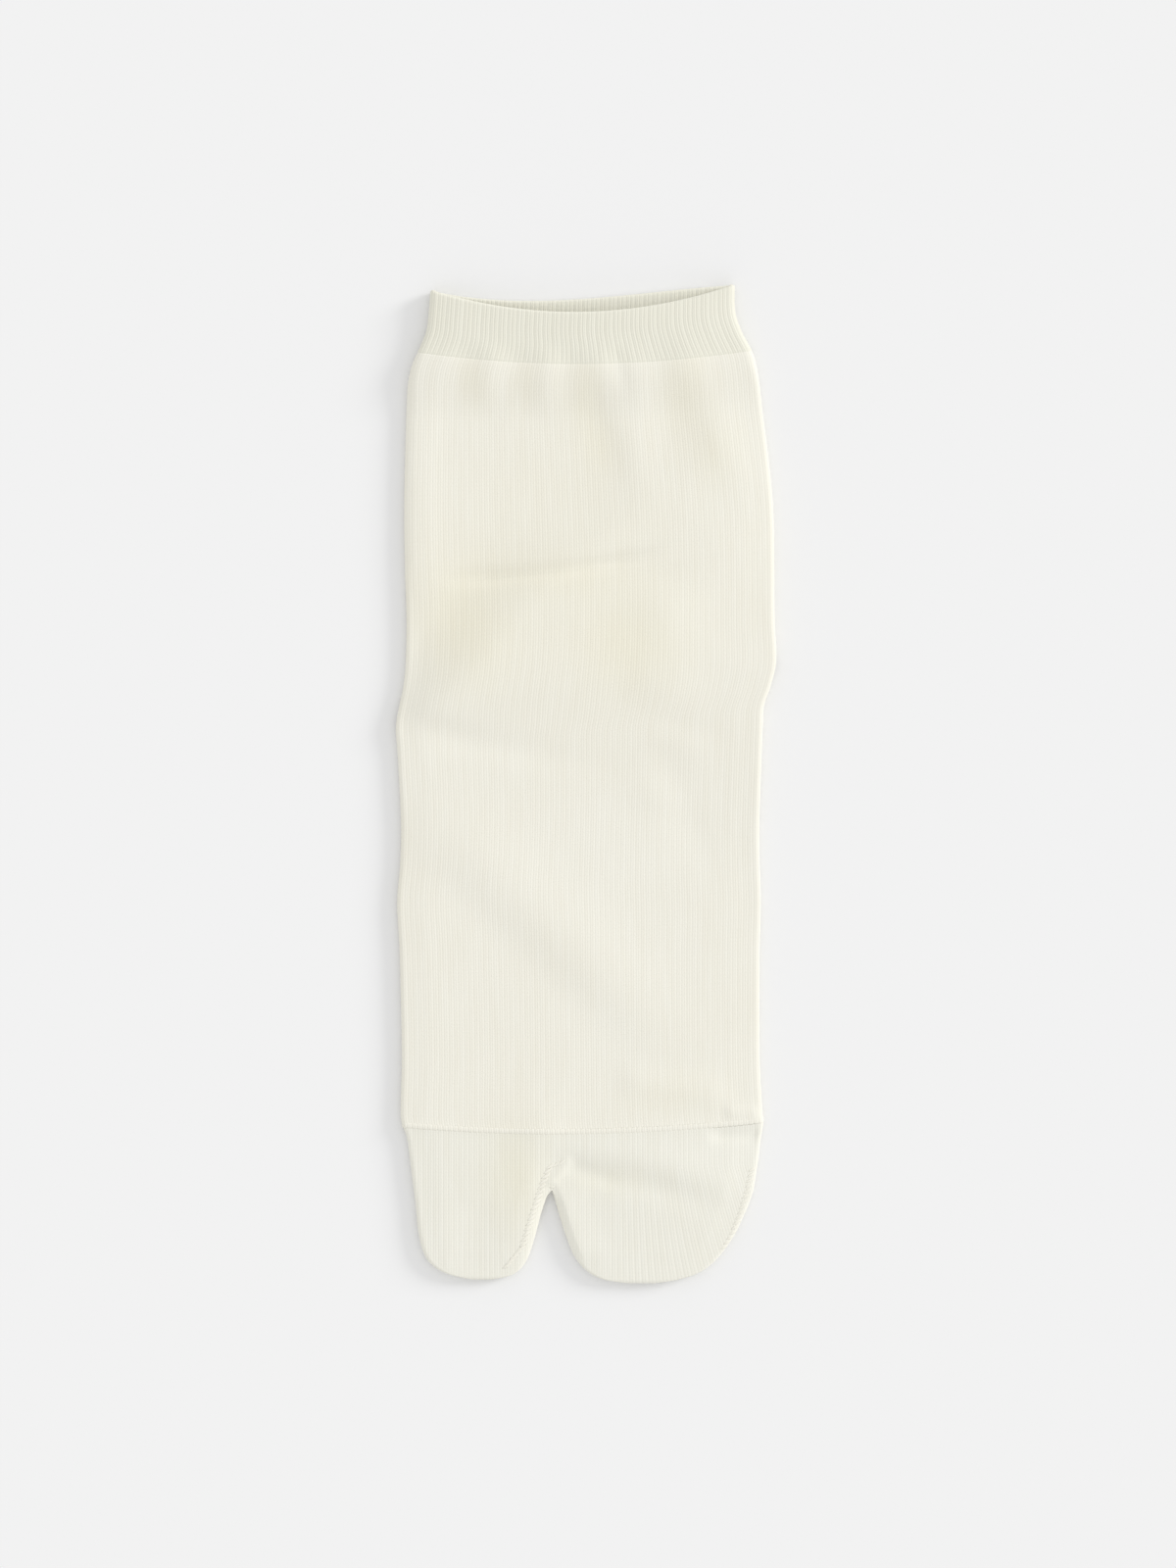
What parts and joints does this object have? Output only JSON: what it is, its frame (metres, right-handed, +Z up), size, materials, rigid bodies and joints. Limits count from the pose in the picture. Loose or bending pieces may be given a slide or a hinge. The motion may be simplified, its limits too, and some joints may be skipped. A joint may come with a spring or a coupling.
{
  "type": "tabi sock",
  "caption": "Knitted tabi sock lying flat with its instep up: ribbed cuff, plain tube for leg and foot, heel pocket folded under the leg, and a toe split for a sandal's thong.",
  "frame": {"origin": "middle of the sock's outline seen from above, on the surface that it lies on", "axes": "+X across the sock, away from the big toe; +Y along it, towards the cuff; +Z up, out of the instep"},
  "size_m": [0.097, 0.2545, 0.0066],
  "materials": {
    "cotton_knit": "plain ivory cotton jersey knit, matt with a faint sheen",
    "cotton_rib": "ivory cotton one by one rib, matt"
  },
  "bodies": {
    "root": {"cuff": "cotton_rib", "leg_and_foot": "cotton_knit", "heel": "cotton_knit", "toe": "cotton_knit"}
  },
  "joints": []
}
